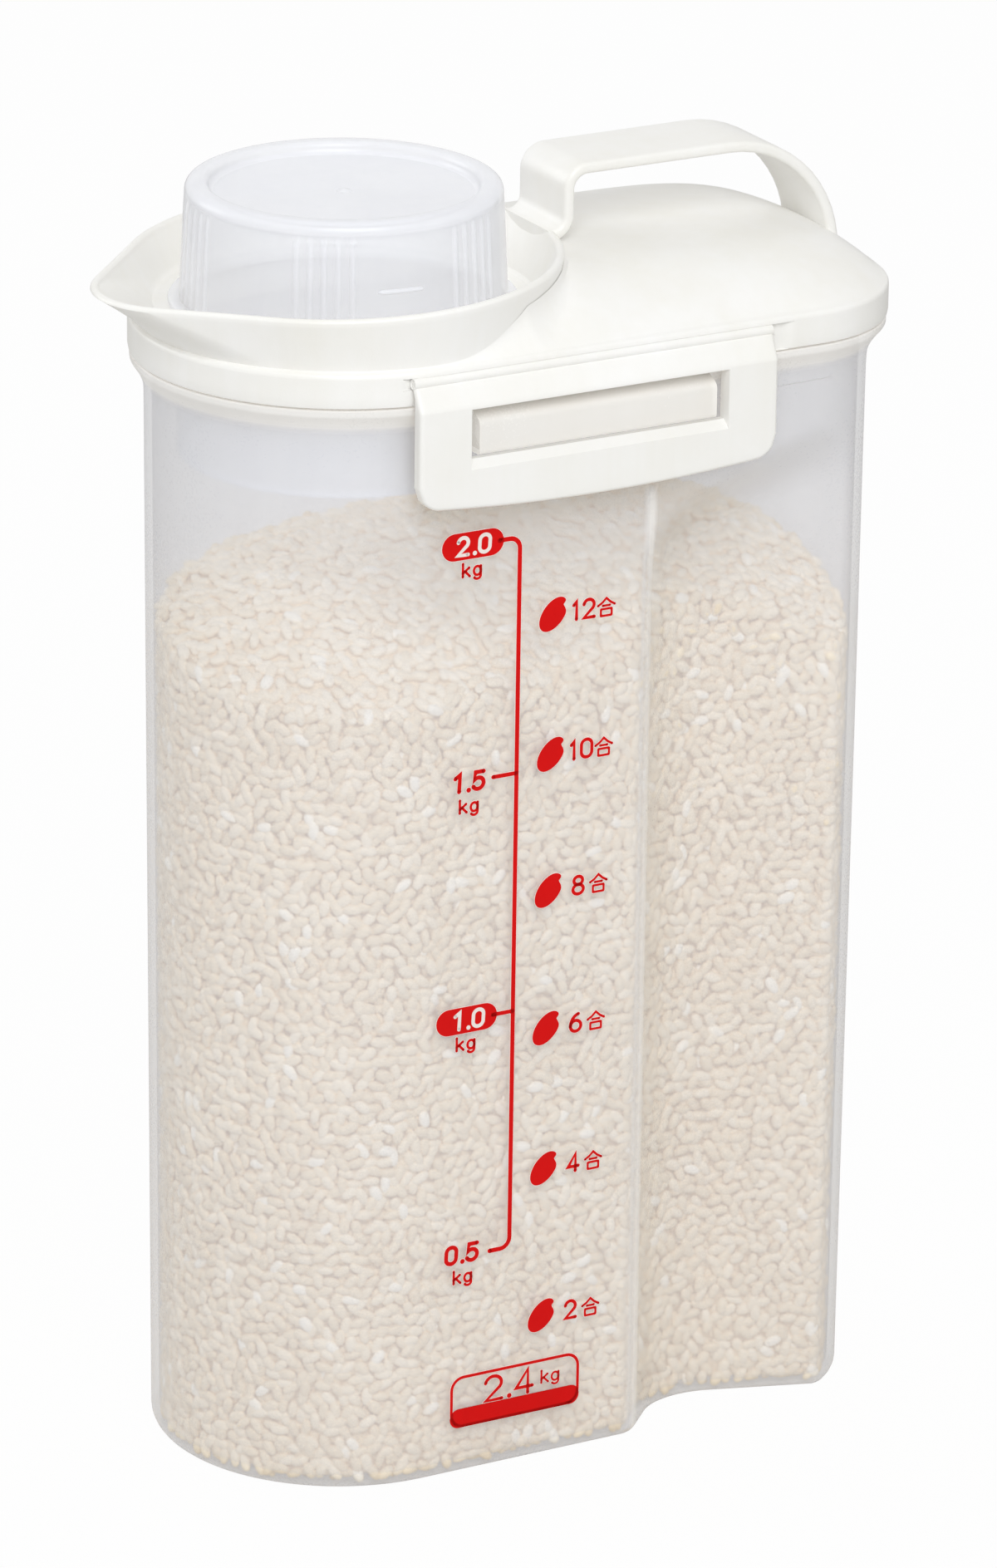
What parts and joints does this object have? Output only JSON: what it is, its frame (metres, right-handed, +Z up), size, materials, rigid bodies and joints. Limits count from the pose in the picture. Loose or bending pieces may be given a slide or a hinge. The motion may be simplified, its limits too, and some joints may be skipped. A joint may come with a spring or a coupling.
{
  "type": "rice storage bin",
  "caption": "Tall translucent rice bin with pressed-in hand grips, a crowned lid with pour collar and carry strap, side clips that hook a catch rib, and a measuring cup that plugs the mouth.",
  "frame": {"origin": "centre of the object's plan, on the flat base", "axes": "+X towards the carry handle's rear end, with the pour lip at -X; +Y towards the far side, with the printed scale at -Y; +Z up"},
  "size_m": [0.1839, 0.1006, 0.292],
  "materials": {
    "milky_plastic": "frosted translucent polypropylene, satin",
    "cream_plastic": "opaque moulded polypropylene, fine satin",
    "cup_plastic": "cloudy translucent polypropylene, smooth",
    "seal_rubber": "soft elastomer, matte",
    "scale_ink": "red screen-printed ink",
    "rice_grain": "dry polished grain"
  },
  "bodies": {
    "container": {"container": "milky_plastic"},
    "lid": {"lid_shell": "cream_plastic", "pour_collar": "cream_plastic", "carry_handle": "cream_plastic", "lid_packing": "seal_rubber"},
    "cup": {"measuring_cup": "cup_plastic"},
    "near_clip": {"near_clip": "cream_plastic"},
    "far_clip": {"far_clip": "cream_plastic"}
  },
  "joints": [
    {"name": "lid_lift", "type": "slide", "parent": "container", "child": "lid", "axis": [0, 0, 1], "range_m": [0, 0.14]},
    {"name": "cup_lift", "type": "slide", "parent": "lid", "child": "cup", "axis": [0, 0, 1], "range_m": [0, 0.075]},
    {"name": "near_clip_swing", "type": "hinge", "parent": "lid", "child": "near_clip", "pos_m": [0.0032, -0.0466, 0.2598], "axis": [-1, 0, 0], "range_deg": [0, 105]},
    {"name": "far_clip_swing", "type": "hinge", "parent": "lid", "child": "far_clip", "pos_m": [0.0032, 0.0466, 0.2598], "axis": [1, 0, 0], "range_deg": [0, 105]}
  ]
}
